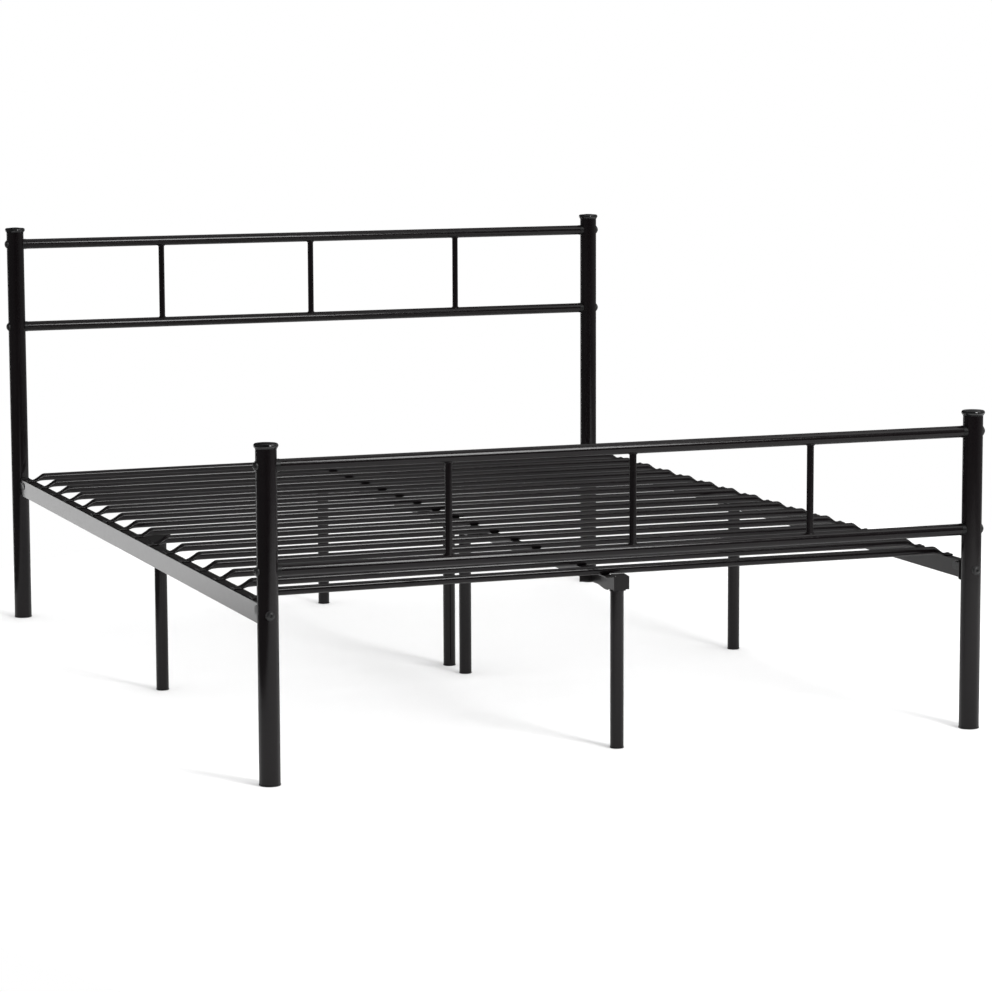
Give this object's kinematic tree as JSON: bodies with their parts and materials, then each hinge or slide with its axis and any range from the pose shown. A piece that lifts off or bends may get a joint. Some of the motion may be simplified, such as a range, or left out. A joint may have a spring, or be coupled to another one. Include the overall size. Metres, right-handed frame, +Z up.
{
  "type": "metal bed frame",
  "caption": "Black tubular steel double bed frame with open head and foot panels, bowed tube slats on angle side rails and a centre beam standing on legs.",
  "frame": {"origin": "on the floor, below the middle of the frame's bounding box", "axes": "+X across the bed towards its right side as seen from the foot end, +Y from the foot end to the head end, +Z up"},
  "size_m": [1.4392, 1.9772, 0.8876],
  "materials": {
    "tube_coat": "satin black powder coat",
    "sheet_coat": "satin black powder coat on folded sheet",
    "slat_coat": "satin black powder coat",
    "fastener_steel": "black-oxide steel",
    "cap_plastic": "glossy moulded",
    "foot_plastic": "matt moulded"
  },
  "bodies": {
    "root": {"beam_bolts": "fastener_steel", "beam_nuts": "fastener_steel", "center_beam_foot_half": "sheet_coat", "center_beam_head_half": "sheet_coat", "center_beam_splice": "sheet_coat", "center_leg_brackets": "sheet_coat", "center_leg_foot": "tube_coat", "center_leg_head": "tube_coat", "center_leg_mid_foot": "tube_coat", "center_leg_mid_head": "tube_coat", "foot_lower_rail": "tube_coat", "foot_post_left": "tube_coat", "foot_post_right": "tube_coat", "foot_spindle_center": "tube_coat", "foot_spindle_left": "tube_coat", "foot_spindle_right": "tube_coat", "foot_top_rail": "tube_coat", "head_lower_rail": "tube_coat", "head_post_left": "tube_coat", "head_post_right": "tube_coat", "head_spindle_center": "tube_coat", "head_spindle_left": "tube_coat", "head_spindle_right": "tube_coat", "head_top_rail": "tube_coat", "leg_glides": "foot_plastic", "panel_bolts": "fastener_steel", "post_cap_foot_left": "cap_plastic", "post_cap_foot_right": "cap_plastic", "post_cap_head_left": "cap_plastic", "post_cap_head_right": "cap_plastic", "post_glides": "foot_plastic", "rail_end_plugs": "foot_plastic", "saddle_washers": "fastener_steel", "side_leg_bolts": "fastener_steel", "side_leg_brackets": "sheet_coat", "side_leg_left": "tube_coat", "side_leg_right": "tube_coat", "side_leg_top_plugs": "foot_plastic", "side_rail_bolts": "fastener_steel", "side_rail_end_plates": "sheet_coat", "side_rail_left": "sheet_coat", "side_rail_nut_blocks": "fastener_steel", "side_rail_right": "sheet_coat", "slat_01": "slat_coat", "slat_02": "slat_coat", "slat_03": "slat_coat", "slat_04": "slat_coat", "slat_05": "slat_coat", "slat_06": "slat_coat", "slat_07": "slat_coat", "slat_08": "slat_coat", "slat_09": "slat_coat", "slat_10": "slat_coat", "slat_11": "slat_coat", "slat_12": "slat_coat", "slat_13": "slat_coat", "slat_14": "slat_coat", "slat_15": "slat_coat", "slat_16": "slat_coat", "slat_rivets": "fastener_steel"}
  },
  "joints": []
}
